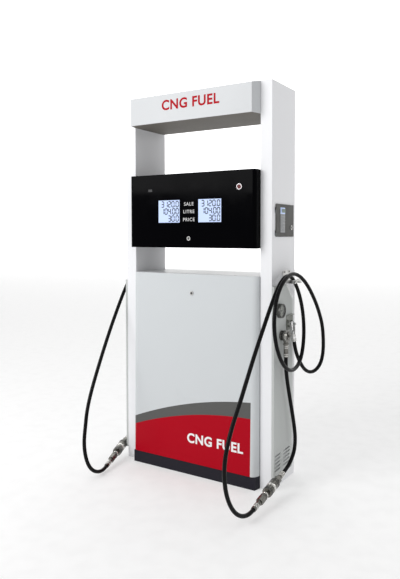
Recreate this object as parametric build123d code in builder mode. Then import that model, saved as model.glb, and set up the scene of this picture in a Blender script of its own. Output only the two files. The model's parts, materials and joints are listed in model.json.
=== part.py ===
from build123d import *

import os
from math import cos, pi, radians, sin, tan

# Two-hose compressed-gas dispenser. Millimetres, +Z up, front towards -Y, +X to the right of
# somebody who faces the front. The origin is the centre of the anchor bolts, on the floor.

# ---------------------------------------------------------------- overall sizes
WIDTH = 990  # over the two columns
DEPTH = 300  # of a column
HEIGHT = 2200
COLUMN_WIDTH = 70
SHEET = 2.5  # sheet metal of columns, doors and boxes
BEND = 2.5  # outside radius of a folded sheet edge
DOOR_GAP = 1.0  # round every door and hatch
LIFT_GAP = 2.0  # behind the display door, whose top edge swings back as it lifts
SEAT = 0.5  # between a piece and the opening that it sits in
RUNNING = 0.05  # radial clearance of a pin or a shaft

# sign box on top
HEADER_BOTTOM = 2027
HEADER_FRONT = 215  # front face, from the centre plane
HEADER_REAR = 132
HEADER_TAPER = 19  # how far each end of the front face stands in
HEADER_DROP = 15  # fall of the top towards the front edge

# display box
DISPLAY_BOTTOM = 1307
DISPLAY_TOP = 1730
DISPLAY_FRONT = 205
DISPLAY_CORNER = 18
DISPLAY_DOOR_SHEET = 3
WINDOW_WIDTH = 150
WINDOW_HEIGHT = 129
WINDOW_X = 138
WINDOW_Z = 1515
WINDOW_LIP = 8  # how far an indicator laps behind the front
DISPLAY_LOCK_Z = 1360
BUTTON_X = 327
BUTTON_Z = 1639
BUTTON_RADIUS = 12
BUTTON_TRAVEL = 4
READER_X = -273
READER_WIDTH = 28
READER_HEIGHT = 15

# lower cabinet
CABINET_TOP = 1157
DOOR_BOTTOM = 71
DOOR_TOP_FRONT = 174
DOOR_BOTTOM_FRONT = 195
DOOR_CORNER = 36
DOOR_LOCK_Z = 1047
PLINTH_TOP = 68
PLINTH_FRONT = 191
PLINTH_TAPER = 11

# raised panel on each outer side
PANEL_BOTTOM = 60
PANEL_TOP = 1104
PANEL_RISE = 13
PANEL_REAR = 130
PANEL_CORNER = 83  # 45 degree cut at the top rear
PANEL_BEVEL = 45
SLOT_COUNT = 5
SLOT_HEIGHT = 7
SLOT_PITCH = 20
SLOT_BOTTOM = 100
SLOT_SPANS = ((-135, -68), (-25, 58))

# what is on each outer side: (y, z) of its centre
OUTLET = (-59, 832)
GAUGE = (-85, 970)
GAUGE_RADIUS = 39
HOLDER = (47, 893)
HOLDER_WIDTH = 84
HOLDER_HEIGHT = 84
SOCKET = (20, 888)
HOOK = (8, 1155)
HOOK_PLATE = (100, 56)
SADDLE_RADIUS = 48
SADDLE_TOP = 1131
SADDLE_DEPTH = 16
SADDLE_LIP = 9
SADDLE_REACH = 78

# operator's hatch on the right side
HATCH_FRONT = -110
HATCH_REAR = 120
HATCH_BOTTOM = 1370
HATCH_TOP = 1548
HATCH_THICK = 4
KEYPAD_FRONT = -56
KEYPAD_REAR = 3
KEYPAD_BOTTOM = 1393
KEYPAD_TOP = 1494
SCREEN_TOP = 1530
HATCH_LOCK = (85, 1421)

# base plate and anchors
BASE_THICK = 6
ANCHOR_X = 760
ANCHOR_Y = 220
ANCHOR_RADIUS = 9
ENTRY = (300, 150)  # opening in the base for pipe and cable
INLET_X = 60
INLET_BORE = 10.6

# hoses
HOSE = 21
HOSE_END_GAP = 0.5

column_inner = WIDTH / 2 - COLUMN_WIDTH
column_front = -DEPTH / 2
side_face = WIDTH / 2
panel_face = side_face + PANEL_RISE
opening_half = column_inner - DOOR_GAP
RIGHT, LEFT = 1, -1
SIDES = ((RIGHT, "right"), (LEFT, "left"))

os.makedirs("parts", exist_ok=True)


def save(piece, label):
    """Labels a finished piece and writes it."""
    piece.part.label = label
    export_step(piece.part, f"parts/{label}.step")


def outward(side, x, y, z):
    """Plane on an outer side whose Z points away from the dispenser and whose X is the row's +Y."""
    return Plane(origin=(side * x, y, z), x_dir=(0, 1, 0), z_dir=(side, 0, 0))


def frontward(x, y, z):
    """Plane whose Z points to the front (-Y) and whose X is the row's +X."""
    return Plane(origin=(x, y, z), x_dir=(1, 0, 0), z_dir=(0, -1, 0))


def block(low, high, mode=Mode.ADD):
    """A box between two corners, in the open part."""
    size = [b - a for a, b in zip(low, high)]
    with BuildSketch(Plane.XY.offset(low[2])) as base:
        with Locations(((low[0] + high[0]) / 2, (low[1] + high[1]) / 2)):
            Rectangle(size[0], size[1])
    extrude(base.sketch, amount=size[2], mode=mode)


def rod(plane, start, length, radius, mode=Mode.ADD):
    """A round length along a plane's Z, in the open part."""
    with BuildSketch(plane.offset(start)) as section:
        Circle(radius)
    extrude(section.sketch, amount=length, mode=mode)


def hexagon(plane, start, length, radius):
    """A hexagon nut along a plane's Z, in the open part."""
    with BuildSketch(plane.offset(start)) as section:
        RegularPolygon(radius, 6)
    extrude(section.sketch, amount=length)


# ---------------------------------------------------------------- base and frame
def make_base_frame():
    with BuildPart() as base:
        half_x = column_inner - SEAT
        half_y = DEPTH / 2 - SHEET - SEAT
        block((-half_x, -half_y, 0), (half_x, half_y, BASE_THICK))
        block((-ENTRY[0] / 2, -ENTRY[1] / 2, 0), (ENTRY[0] / 2, ENTRY[1] / 2, BASE_THICK), Mode.SUBTRACT)
        with Locations((0, 0, BASE_THICK)):
            with GridLocations(ANCHOR_X, ANCHOR_Y, 2, 2):
                Hole(ANCHOR_RADIUS)
    save(base, "base_frame")


UPRIGHT = 28
FRAME_WALL = 3


def make_cabinet_frame():
    x = column_inner - SEAT - UPRIGHT / 2
    y = DEPTH / 2 - SHEET - SEAT - UPRIGHT / 2
    top = CABINET_TOP - SHEET
    with BuildPart() as frame:
        with BuildSketch(Plane.XY.offset(BASE_THICK)):
            with GridLocations(2 * x, 2 * y, 2, 2):
                Rectangle(UPRIGHT, UPRIGHT)
        extrude(amount=top - BASE_THICK)
        for low in (BASE_THICK, top - UPRIGHT):
            for side in (-1, 1):
                block((-x, side * y - UPRIGHT / 2, low), (x, side * y + UPRIGHT / 2, low + UPRIGHT))
                block((side * x - UPRIGHT / 2, -y, low), (side * x + UPRIGHT / 2, y, low + UPRIGHT))
        with BuildSketch(Plane.XY.offset(BASE_THICK)):
            with GridLocations(2 * x, 2 * y, 2, 2):
                Rectangle(UPRIGHT - 2 * FRAME_WALL, UPRIGHT - 2 * FRAME_WALL)
        extrude(amount=top - BASE_THICK, mode=Mode.SUBTRACT)
    save(frame, "cabinet_frame")


# ---------------------------------------------------------------- columns
PIPE_HOLE = 14
GAUGE_HOLE = 9


def make_column(side, name):
    with BuildPart() as column:
        low_x, high_x = sorted((side * column_inner, side * side_face))
        block((low_x, column_front, 0), (high_x, DEPTH / 2, HEIGHT))
        fillet(column.edges().filter_by(Axis.Z), BEND)
        block(
            (low_x + SHEET, column_front + SHEET, 0),
            (high_x - SHEET, DEPTH / 2 - SHEET, HEIGHT - SHEET),
            Mode.SUBTRACT,
        )
        middle = column_inner - SHEET
        across = COLUMN_WIDTH + 2 * SHEET
        rod(outward(side, middle, OUTLET[0], OUTLET[1]), 0, across, PIPE_HOLE, Mode.SUBTRACT)
        rod(outward(side, middle, GAUGE[0], GAUGE[1]), 0, across, GAUGE_HOLE, Mode.SUBTRACT)
        if side == RIGHT:
            lap = 6
            block(
                (side_face - 2 * SHEET, HATCH_FRONT + lap, HATCH_BOTTOM + lap),
                (side_face + 1, HATCH_REAR - lap, HATCH_TOP - lap),
                Mode.SUBTRACT,
            )
    save(column, f"column_{name}")


def panel_outline(inset, run):
    """Side panel's outline in (y, z), drawn in by inset, and at its bevelled edges by run more."""
    front = column_front + inset
    top = PANEL_TOP - inset
    rear = PANEL_REAR - inset - run
    corner = PANEL_CORNER - inset * tan(radians(22.5))
    return (
        (front, PANEL_BOTTOM + inset),
        (front, top),
        (rear - corner, top),
        (rear, top - corner),
        (rear, PANEL_BOTTOM + inset),
    )


def make_side_panel(side, name):
    plane = Plane(origin=(side * side_face, 0, 0), x_dir=(0, 1, 0), z_dir=(side, 0, 0))

    def outline(level, inset, run):
        with BuildSketch(plane.offset(level)) as section:
            points = [(y, z * side) for y, z in panel_outline(inset, run)]
            Polygon(*points, align=None)
        return section.sketch

    with BuildPart() as hollow:
        loft([outline(0, SHEET, 0), outline(PANEL_RISE - SHEET, SHEET, PANEL_BEVEL)], ruled=True)
    with BuildPart() as panel:
        loft([outline(0, 0, 0), outline(PANEL_RISE, 0, PANEL_BEVEL)], ruled=True)
        add(hollow.part, mode=Mode.SUBTRACT)
        low_x, high_x = sorted((side * (side_face + SHEET), side * (panel_face + 1)))
        for row in range(SLOT_COUNT):
            z = SLOT_BOTTOM + row * SLOT_PITCH
            for front, rear in SLOT_SPANS:
                block((low_x, front, z), (high_x, rear, z + SLOT_HEIGHT), Mode.SUBTRACT)
        plane_in = outward(side, side_face - 1, OUTLET[0], OUTLET[1])
        rod(plane_in, 0, PANEL_RISE + 2, PIPE_HOLE, Mode.SUBTRACT)
        plane_in = outward(side, side_face - 1, GAUGE[0], GAUGE[1])
        rod(plane_in, 0, PANEL_RISE + 2, GAUGE_HOLE, Mode.SUBTRACT)
    save(panel, f"side_panel_{name}")


# ---------------------------------------------------------------- sign box
def sign_box(inset):
    """Outer shape of the sign box, or of its inside when inset by a sheet."""
    front, rear = -HEADER_FRONT + inset, HEADER_REAR - inset
    side, corner = column_inner - inset, column_front + inset / 2
    top = HEIGHT - inset
    bottom = HEADER_BOTTOM if inset == 0 else HEADER_BOTTOM - 1
    with BuildPart() as box:
        with BuildSketch(Plane.XY.offset(bottom)):
            Polygon(
                (-side, corner),
                (-side + HEADER_TAPER, front),
                (side - HEADER_TAPER, front),
                (side, corner),
                (side, rear),
                (-side, rear),
                align=None,
            )
        extrude(amount=top - bottom)
        with BuildSketch(Plane.YZ.offset(-side)):
            Polygon(
                (front, bottom),
                (front, top - HEADER_DROP),
                (corner, top),
                (rear, top),
                (rear, bottom),
                align=None,
            )
        extrude(amount=2 * side, mode=Mode.INTERSECT)
    return box.part


TRAY_THICK = 3


def make_header():
    inside = sign_box(SHEET)
    with BuildPart() as shell:
        add(sign_box(0))
        add(inside, mode=Mode.SUBTRACT)
    save(shell, "header_shell")
    side = column_inner - SHEET - SEAT
    front, rear = -HEADER_FRONT + SHEET + SEAT, HEADER_REAR - SHEET - SEAT
    corner = column_front + SHEET / 2
    with BuildPart() as tray:
        with BuildSketch(Plane.XY.offset(HEADER_BOTTOM)):
            Polygon(
                (-side, corner),
                (-side + HEADER_TAPER, front),
                (side - HEADER_TAPER, front),
                (side, corner),
                (side, rear),
                (-side, rear),
                align=None,
            )
        extrude(amount=TRAY_THICK)
    save(tray, "header_tray")


# ---------------------------------------------------------------- display box
HINGE_PIN = 2.5
HINGE_BOSS = 5
HINGE_DROP = 7  # display hinge axis below the top of the door
HINGE_OUT = 18.5  # display hinge axis in front of the housing
ARM_DROP = 25  # how far below the display hinge its arms turn back
ARM_THICK = 6
HINGE_X = 370
LUG_WIDTH = 12
BRACKET_WIDTH = 8

display_axis = (column_front - HINGE_OUT, DISPLAY_TOP - HINGE_DROP)


def make_display_housing():
    half = column_inner
    rear = DEPTH / 2
    with BuildPart() as housing:
        block((-half, column_front, DISPLAY_BOTTOM), (half, rear, DISPLAY_TOP))
        block(
            (-half + SHEET, column_front - 1, DISPLAY_BOTTOM + SHEET),
            (half - SHEET, rear - SHEET, DISPLAY_TOP - SHEET),
            Mode.SUBTRACT,
        )
    save(housing, "display_housing")


def display_door_plan(inset):
    """Plan of the display door, drawn in by inset, with its two front corners rounded."""
    half, front, rear = opening_half - inset, -DISPLAY_FRONT + inset, column_front - LIFT_GAP
    corner = DISPLAY_CORNER - inset
    with BuildLine() as edge:
        Polyline((-half, front + corner), (-half, rear), (half, rear), (half, front + corner))
        RadiusArc((half, front + corner), (half - corner, front), corner)
        Line((half - corner, front), (-half + corner, front))
        RadiusArc((-half + corner, front), (-half, front + corner), corner)
    make_face(edge.line)


def make_display_door():
    front = -DISPLAY_FRONT
    with BuildPart() as door:
        with BuildSketch(Plane.XY.offset(DISPLAY_BOTTOM)):
            display_door_plan(0)
        extrude(amount=DISPLAY_TOP - DISPLAY_BOTTOM)
        with BuildSketch(Plane.XY.offset(DISPLAY_BOTTOM + DISPLAY_DOOR_SHEET)):
            display_door_plan(DISPLAY_DOOR_SHEET)
        extrude(amount=DISPLAY_TOP - DISPLAY_BOTTOM - 2 * DISPLAY_DOOR_SHEET, mode=Mode.SUBTRACT)
        for side in (-1, 1):
            x = side * WINDOW_X
            block(
                (x - WINDOW_WIDTH / 2, front - 1, WINDOW_Z - WINDOW_HEIGHT / 2),
                (x + WINDOW_WIDTH / 2, front + DISPLAY_DOOR_SHEET + 1, WINDOW_Z + WINDOW_HEIGHT / 2),
                Mode.SUBTRACT,
            )
            # hinge lug under the top sheet
            y, z = display_axis
            lug = side * HINGE_X - LUG_WIDTH / 2
            block((lug, y - HINGE_BOSS, z), (lug + LUG_WIDTH, y + HINGE_BOSS, DISPLAY_TOP - 1))
            rod(Plane(origin=(lug, y, z), x_dir=(0, 1, 0), z_dir=(1, 0, 0)), 0, LUG_WIDTH, HINGE_BOSS)
            rod(
                Plane(origin=(lug, y, z), x_dir=(0, 1, 0), z_dir=(1, 0, 0)),
                0,
                LUG_WIDTH,
                HINGE_PIN + RUNNING,
                Mode.SUBTRACT,
            )
        # holes for the reader window, the lock and the stop button
        block(
            (READER_X - READER_WIDTH / 2, front - 1, BUTTON_Z - READER_HEIGHT / 2),
            (READER_X + READER_WIDTH / 2, front + DISPLAY_DOOR_SHEET + 1, BUTTON_Z + READER_HEIGHT / 2),
            Mode.SUBTRACT,
        )
        inner = front + DISPLAY_DOOR_SHEET + 1
        rod(frontward(0, inner, DISPLAY_LOCK_Z), 0, 6, LOCK_BARREL + RUNNING, Mode.SUBTRACT)
        rod(frontward(BUTTON_X, inner, BUTTON_Z), 0, 6, RING_BARREL, Mode.SUBTRACT)
    save(door, "display_door")


INDICATOR_DEPTH = 14


def make_indicators():
    front = -DISPLAY_FRONT
    inner = front + DISPLAY_DOOR_SHEET
    for side, name in SIDES:
        x = side * WINDOW_X
        with BuildPart() as lcd:
            half_x, half_z = WINDOW_WIDTH / 2 - SEAT, WINDOW_HEIGHT / 2 - SEAT
            block((x - half_x, front + 1, WINDOW_Z - half_z), (x + half_x, inner, WINDOW_Z + half_z))
            half_x, half_z = WINDOW_WIDTH / 2 + WINDOW_LIP, WINDOW_HEIGHT / 2 + WINDOW_LIP
            rear = inner + INDICATOR_DEPTH
            block((x - half_x, inner, WINDOW_Z - half_z), (x + half_x, rear, WINDOW_Z + half_z))
        save(lcd, f"indicator_{name}")
    with BuildPart() as reader:
        half_x, half_z = READER_WIDTH / 2 - SEAT / 2, READER_HEIGHT / 2 - SEAT / 2
        for start, end, lip in ((0.5, 3, 0), (3, 7, 4)):
            block(
                (READER_X - half_x - lip, front + start, BUTTON_Z - half_z - lip),
                (READER_X + half_x + lip, front + end, BUTTON_Z + half_z + lip),
            )
    save(reader, "reader_window")


BOARD_THICK = 2


def make_display_board():
    back = -DISPLAY_FRONT + DISPLAY_DOOR_SHEET + INDICATOR_DEPTH
    half_x = WINDOW_X + WINDOW_WIDTH / 2 + WINDOW_LIP
    half_z = WINDOW_HEIGHT / 2 + WINDOW_LIP + 6
    with BuildPart() as board:
        block((-half_x, back, WINDOW_Z - half_z), (half_x, back + BOARD_THICK, WINDOW_Z + half_z))
        for x, z, size_x, size_z, height in (
            (-150, 30, 60, 40, 8),
            (-60, -20, 34, 34, 4),
            (0, 32, 70, 18, 12),
            (70, -25, 30, 30, 4),
            (150, 20, 50, 60, 9),
            (-150, -40, 90, 14, 11),
        ):
            block(
                (x - size_x / 2, back + BOARD_THICK, WINDOW_Z + z - size_z / 2),
                (x + size_x / 2, back + BOARD_THICK + height, WINDOW_Z + z + size_z / 2),
            )
    save(board, "display_board")


# ---------------------------------------------------------------- locks and button
LOCK_BARREL = 9
HATCH_BARREL = 7
LOCK_HEAD = 12
LOCK_HEAD_THICK = 3
TONGUE_LENGTH = 38
TONGUE_WIDTH = 14


def make_lock(name, plane, wall, barrel=LOCK_BARREL):
    """A quarter-turn lock in a wall, its plane on the wall's outside, its tongue along plane X at rest."""
    with BuildPart() as lock:
        rod(plane, 0.3, LOCK_HEAD_THICK, LOCK_HEAD)
        rod(plane, -wall - 12, wall + 12.3, barrel)
        with BuildSketch(plane.offset(-wall - 12)):
            with Locations((TONGUE_LENGTH / 2 - barrel / 2, 0)):
                SlotOverall(TONGUE_LENGTH, TONGUE_WIDTH)
        extrude(amount=3)
        with BuildSketch(plane.offset(0.3 + LOCK_HEAD_THICK - 1.5)):
            Rectangle(2, LOCK_HEAD)
        extrude(amount=2, mode=Mode.SUBTRACT)
    save(lock, name)


RING_BARREL = 14.5
RING_RADIUS = 17.5


def make_stop_button():
    plane = frontward(BUTTON_X, -DISPLAY_FRONT, BUTTON_Z)
    with BuildPart() as ring:
        rod(plane, 0, 5, RING_RADIUS)
        fillet(ring.edges().group_by(Axis.Y)[0], 2)
        rod(plane, -20, 20, RING_BARREL - SEAT)
        rod(plane, -17, 30, BUTTON_RADIUS + 0.3, Mode.SUBTRACT)
    save(ring, "stop_button_ring")
    with BuildPart() as button:
        rod(plane, -12, 16, BUTTON_RADIUS)
        fillet(button.edges().group_by(Axis.Y)[0], 2)
    save(button, "stop_button")


# ---------------------------------------------------------------- lower cabinet
DOOR_AXIS = (-187, 82)
DOOR_LUG_X = 330
ARM_WIDTH = 8


def door_plan(front, inset, half):
    """Plan of the front door at one level, flat in front, its ends carried back round elliptic corners."""
    rear = column_front - DOOR_GAP
    depth = rear - front - inset
    corner = DOOR_CORNER - inset
    face = front + inset
    edge = half - inset
    with BuildLine() as outline:
        Line((-edge, rear), (edge, rear))
        EllipticalCenterArc((edge - corner, rear), corner, depth, start_angle=270, arc_size=90)
        Line((edge - corner, face), (-edge + corner, face))
        EllipticalCenterArc((-edge + corner, rear), corner, depth, start_angle=180, arc_size=90)
    make_face(outline.line)


def door_front_at(z):
    """Where the door's face is at height z."""
    share = (z - DOOR_BOTTOM) / (CABINET_TOP - DOOR_BOTTOM)
    return -(DOOR_BOTTOM_FRONT + (DOOR_TOP_FRONT - DOOR_BOTTOM_FRONT) * share)


def make_front_door():
    top = CABINET_TOP - DOOR_GAP
    with BuildPart() as hollow:
        for z in (DOOR_BOTTOM + SHEET, top - SHEET):
            with BuildSketch(Plane.XY.offset(z)):
                door_plan(door_front_at(z), SHEET, opening_half)
        loft(ruled=True)
    with BuildPart() as door:
        for z in (DOOR_BOTTOM, top):
            with BuildSketch(Plane.XY.offset(z)):
                door_plan(door_front_at(z), 0, opening_half)
        loft(ruled=True)
        add(hollow.part, mode=Mode.SUBTRACT)
        y, z = DOOR_AXIS
        for side in (-1, 1):
            lug = side * DOOR_LUG_X - LUG_WIDTH / 2
            plane = Plane(origin=(lug, y, z), x_dir=(0, 1, 0), z_dir=(1, 0, 0))
            block((lug, y - HINGE_BOSS, DOOR_BOTTOM + 1), (lug + LUG_WIDTH, y + HINGE_BOSS, z))
            rod(plane, 0, LUG_WIDTH, HINGE_BOSS)
            rod(plane, 0, LUG_WIDTH, HINGE_PIN + RUNNING, Mode.SUBTRACT)
        face = door_front_at(DOOR_LOCK_Z)
        rod(frontward(0, face + SHEET + 2, DOOR_LOCK_Z), 0, 8, LOCK_BARREL + RUNNING, Mode.SUBTRACT)
    save(door, "front_door")


def make_cabinet_skins():
    with BuildPart() as top:
        block((-column_inner, column_front, CABINET_TOP - SHEET), (column_inner, DEPTH / 2, CABINET_TOP))
    save(top, "cabinet_top")
    rear = DEPTH / 2
    with BuildPart() as panel:
        block((-column_inner, rear - SHEET, PLINTH_TOP), (column_inner, rear, CABINET_TOP - SHEET))
        for row in range(SLOT_COUNT):
            for group in (-1, 1):
                for level in (SLOT_BOTTOM + 40, 900):
                    z = level + row * SLOT_PITCH
                    x = group * 200
                    block((x - 90, rear - SHEET - 1, z), (x + 90, rear + 1, z + SLOT_HEIGHT), Mode.SUBTRACT)
    save(panel, "rear_panel")
    with BuildPart() as plinth:
        with BuildSketch(Plane.XY):
            Polygon(
                (-column_inner, column_front),
                (-column_inner + PLINTH_TAPER, -PLINTH_FRONT),
                (column_inner - PLINTH_TAPER, -PLINTH_FRONT),
                (column_inner, column_front),
                align=None,
            )
        extrude(amount=PLINTH_TOP)
        with BuildSketch(Plane.XY):
            inner = column_inner - SHEET
            Polygon(
                (-inner, column_front),
                (-inner + PLINTH_TAPER, -PLINTH_FRONT + SHEET),
                (inner - PLINTH_TAPER, -PLINTH_FRONT + SHEET),
                (inner, column_front),
                align=None,
            )
        extrude(amount=PLINTH_TOP - SHEET, mode=Mode.SUBTRACT)
        block((-column_inner, rear - SHEET, 0), (column_inner, rear, PLINTH_TOP))
    save(plinth, "plinth")


def make_hinge_pins():
    """Fixed pins of the display door, the front door and the hatch, each with its bracket."""
    with BuildPart() as pins:
        y, z = display_axis
        for side in (-1, 1):
            start = side * HINGE_X - LUG_WIDTH / 2 - BRACKET_WIDTH - 1
            plane = Plane(origin=(start, y, z), x_dir=(0, 1, 0), z_dir=(1, 0, 0))
            rod(plane, 0, BRACKET_WIDTH + LUG_WIDTH + 3, HINGE_PIN)
            # an arm that goes down, back and up again to the inside of the housing's top sheet
            end = start + BRACKET_WIDTH
            block((start, y - HINGE_PIN, z - ARM_DROP), (end, y + HINGE_PIN, z))
            block((start, y - HINGE_PIN, z - ARM_DROP), (end, column_front + 30, z - ARM_DROP + ARM_THICK))
            block((start, column_front + 22, z - ARM_DROP), (end, column_front + 30, DISPLAY_TOP - SHEET))
        y, z = DOOR_AXIS
        reach = column_front + SHEET + SEAT - y
        for side in (-1, 1):
            start = side * DOOR_LUG_X - LUG_WIDTH / 2 - ARM_WIDTH - 1
            plane = Plane(origin=(start, y, z), x_dir=(0, 1, 0), z_dir=(1, 0, 0))
            rod(plane, 0, ARM_WIDTH + LUG_WIDTH + 3, HINGE_PIN)
            with BuildSketch(plane):
                Polygon(
                    (-2, -HINGE_PIN),
                    (HINGE_PIN, -HINGE_PIN + 1),
                    (reach, reach - 5),
                    (reach, reach + 8),
                    (-HINGE_PIN, 2),
                    align=None,
                )
            extrude(amount=ARM_WIDTH)
            # a post that stands on the frame's bottom rail
            post = y + reach
            block((start, post, BASE_THICK + UPRIGHT), (start + ARM_WIDTH, post + 8, z + reach + 8))
        x, y = hatch_axis
        for z in (HATCH_BOTTOM + 20, HATCH_TOP - 20 - KNUCKLE):
            rod(Plane(origin=(x, y, z - KNUCKLE - 1)), 0, 2 * KNUCKLE + 2, 2)
            block((side_face, y - 2, z - KNUCKLE - 1), (x, y + 2, z - 1))
    save(pins, "hinge_pins")


KNUCKLE = 14
hatch_axis = (side_face + 4.6, HATCH_FRONT - 5)


def make_hatch():
    x, y = hatch_axis
    low = side_face + 0.6
    with BuildPart() as hatch:
        block((low, HATCH_FRONT, HATCH_BOTTOM), (low + HATCH_THICK, HATCH_REAR, HATCH_TOP))
        fillet(hatch.edges().filter_by(Axis.X), 4)
        block(
            (low + HATCH_THICK - 1.5, KEYPAD_FRONT, KEYPAD_BOTTOM),
            (low + HATCH_THICK + 1, KEYPAD_REAR, SCREEN_TOP),
            Mode.SUBTRACT,
        )
        hole = outward(RIGHT, low - 1, HATCH_LOCK[0], HATCH_LOCK[1])
        rod(hole, 0, HATCH_THICK + 2, HATCH_BARREL + RUNNING, Mode.SUBTRACT)
        for z in (HATCH_BOTTOM + 20, HATCH_TOP - 20 - KNUCKLE):
            plane = Plane(origin=(x, y, z), z_dir=(0, 0, 1))
            rod(plane, 0, KNUCKLE, 4)
            block((low + 0.5, y, z), (low + HATCH_THICK, HATCH_FRONT + 1, z + KNUCKLE))
            rod(plane, 0, KNUCKLE, 2 + RUNNING, Mode.SUBTRACT)
    save(hatch, "operator_hatch")
    floor = low + HATCH_THICK - 1.5
    with BuildPart() as keypad:
        block((floor, KEYPAD_FRONT + 0.3, KEYPAD_BOTTOM + 0.3), (floor + 2, KEYPAD_REAR - 0.3, KEYPAD_TOP))
        middle_y, middle_z = (KEYPAD_FRONT + KEYPAD_REAR) / 2, (KEYPAD_BOTTOM + KEYPAD_TOP) / 2
        with BuildSketch(outward(RIGHT, floor + 2, middle_y, middle_z)):
            with GridLocations(17, 18, 3, 5):
                RectangleRounded(13, 12, 2)
        extrude(amount=1.2)
    save(keypad, "operator_keypad")
    with BuildPart() as screen:
        low = (floor, KEYPAD_FRONT + 0.3, KEYPAD_TOP + 0.5)
        block(low, (floor + 2, KEYPAD_REAR - 0.3, SCREEN_TOP - 0.3))
    save(screen, "operator_screen")


# ---------------------------------------------------------------- inside the cabinet
PANEL_Y = 40
PLATE = 4


def make_gas_train():
    """What measures and switches the gas, on a plate across the cabinet."""
    inner_half = column_inner - SEAT - UPRIGHT - 2
    top = CABINET_TOP - UPRIGHT - 10
    with BuildPart() as plate:
        block((-inner_half, PANEL_Y, 120), (inner_half, PANEL_Y + PLATE, top))
        for side in (-1, 1):
            for z in (120, top - 20):
                upright = DEPTH / 2 - SHEET - SEAT - UPRIGHT
                low_x, high_x = sorted((side * (inner_half - 3), side * inner_half))
                block((low_x, PANEL_Y, z), (high_x, upright, z + 20))
                low_x, high_x = sorted((side * (inner_half - 3), side * (inner_half + UPRIGHT / 2)))
                block((low_x, upright - 3, z), (high_x, upright, z + 20))
    save(plate, "mounting_panel")

    with BuildPart() as inlet:
        up = Plane(origin=(INLET_X, 0, 0))
        rod(up, 12, 240, 16)
        rod(up, 12, 25, 20)
        hexagon(up, 150, 30, 27)
        rod(up, 10, 40, INLET_BORE, Mode.SUBTRACT)
        block((INLET_X - 190, -25, 252), (INLET_X + 190, 30, 302))
        for x in (-150, 150):
            rod(Plane(origin=(INLET_X + x, 0, 0)), 160, 92, 26)
            rod(Plane(origin=(INLET_X + x, 0, 0)), 150, 10, 20)
        block((INLET_X - 30, 30, 262), (INLET_X + 30, PANEL_Y, 292))
    save(inlet, "inlet_filters")

    valve = Plane(origin=(INLET_X, 0, 355))
    with BuildPart() as shutoff:
        rod(valve, -53, 12, 22)
        block((INLET_X - 28, -28, 314), (INLET_X + 28, 28, 392))
        rod(valve, 37, 20, 16)
        rod(frontward(INLET_X, -28, 355), 0, 14, 10)
        rod(frontward(INLET_X, -42, 355), 0, 20, 6)
    save(shutoff, "shutoff_valve")
    with BuildPart() as lever:
        hub = frontward(INLET_X, -43, 355)
        rod(hub, 0, 9, 13)
        with BuildSketch(hub.offset(2)):
            with Locations((0, 62)):
                SlotOverall(124, 16, rotation=90)
        extrude(amount=5)
        rod(hub, -1, 30, 6 + RUNNING, Mode.SUBTRACT)
    save(lever, "shutoff_lever")

    with BuildPart() as valves:
        block((INLET_X - 240, -30, 412), (INLET_X + 140, 30, 472))
        block((INLET_X - 60, 30, 422), (INLET_X + 60, PANEL_Y, 462))
        for n in range(6):
            x = INLET_X - 200 + n * 60
            coil = Plane(origin=(x, 0, 0))
            rod(coil, 472, 18, 14)
            rod(coil, 490, 50, 22)
            rod(coil, 540, 8, 9)
            rod(frontward(x, -30, 442), 0, 10, 12)
    save(valves, "solenoid_valves")

    for side, name in SIDES:
        x = side * 290
        with BuildPart() as meter:
            block((x - 45, -40, 590), (x + 45, PANEL_Y, 640))
            with BuildSketch(Plane(origin=(x, -30, 590), x_dir=(1, 0, 0), z_dir=(0, 1, 0))):
                with Locations((0, 70)):
                    Ellipse(56, 72)
            extrude(amount=60)
            rod(Plane(origin=(x, 0, 640)), 0, 30, 18)
            rod(frontward(x, 40, 705), 0, 95, 42)
            rod(frontward(x, -55, 705), 0, 8, 46)
            fillet(meter.edges().group_by(Axis.Y)[0], 3)
        save(meter, f"flow_meter_{name}")

    with BuildPart() as box:
        block((-230, -80, 800), (230, PANEL_Y, 1090))
        fillet(box.edges().filter_by(Axis.Y), 16)
        block((-244, -94, 786), (244, -80, 1104))
        with BuildSketch(frontward(0, -94, 945)):
            with GridLocations(452, 142, 2, 3):
                Circle(7)
            with GridLocations(150, 290, 4, 2):
                Circle(7)
        extrude(amount=6)
    save(box, "control_box")


TUBE = 6


def make_tubing():
    """Steel tubes from the valves through the meters to each outlet, with a nut at each end."""
    with BuildPart() as tubing:
        for side in (-1, 1):
            x = side * 290
            start = (INLET_X + (100 if side == RIGHT else -200), -41, 442)
            points = (start, (start[0], -75, 442), (x, -75, 470), (x, -75, 520), (x, -31, 520))
            with BuildLine() as line:
                FilletPolyline(*points, radius=10)
            with BuildSketch(Plane(origin=line.line @ 0, z_dir=line.line % 0)):
                Circle(TUBE)
            sweep(path=line.line)
            out = (side * (column_inner + COLUMN_WIDTH / 2), OUTLET[0], OUTLET[1])
            points = (
                (x + side * 46, 0, 615),
                (x + side * 75, 0, 615),
                (x + side * 75, OUTLET[0], 660),
                (x + side * 75, OUTLET[0], OUTLET[1]),
                out,
            )
            with BuildLine() as line:
                FilletPolyline(*points, radius=18)
            with BuildSketch(Plane(origin=line.line @ 0, z_dir=line.line % 0)):
                Circle(TUBE)
            sweep(path=line.line)
    save(tubing, "gas_tubing")


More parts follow.
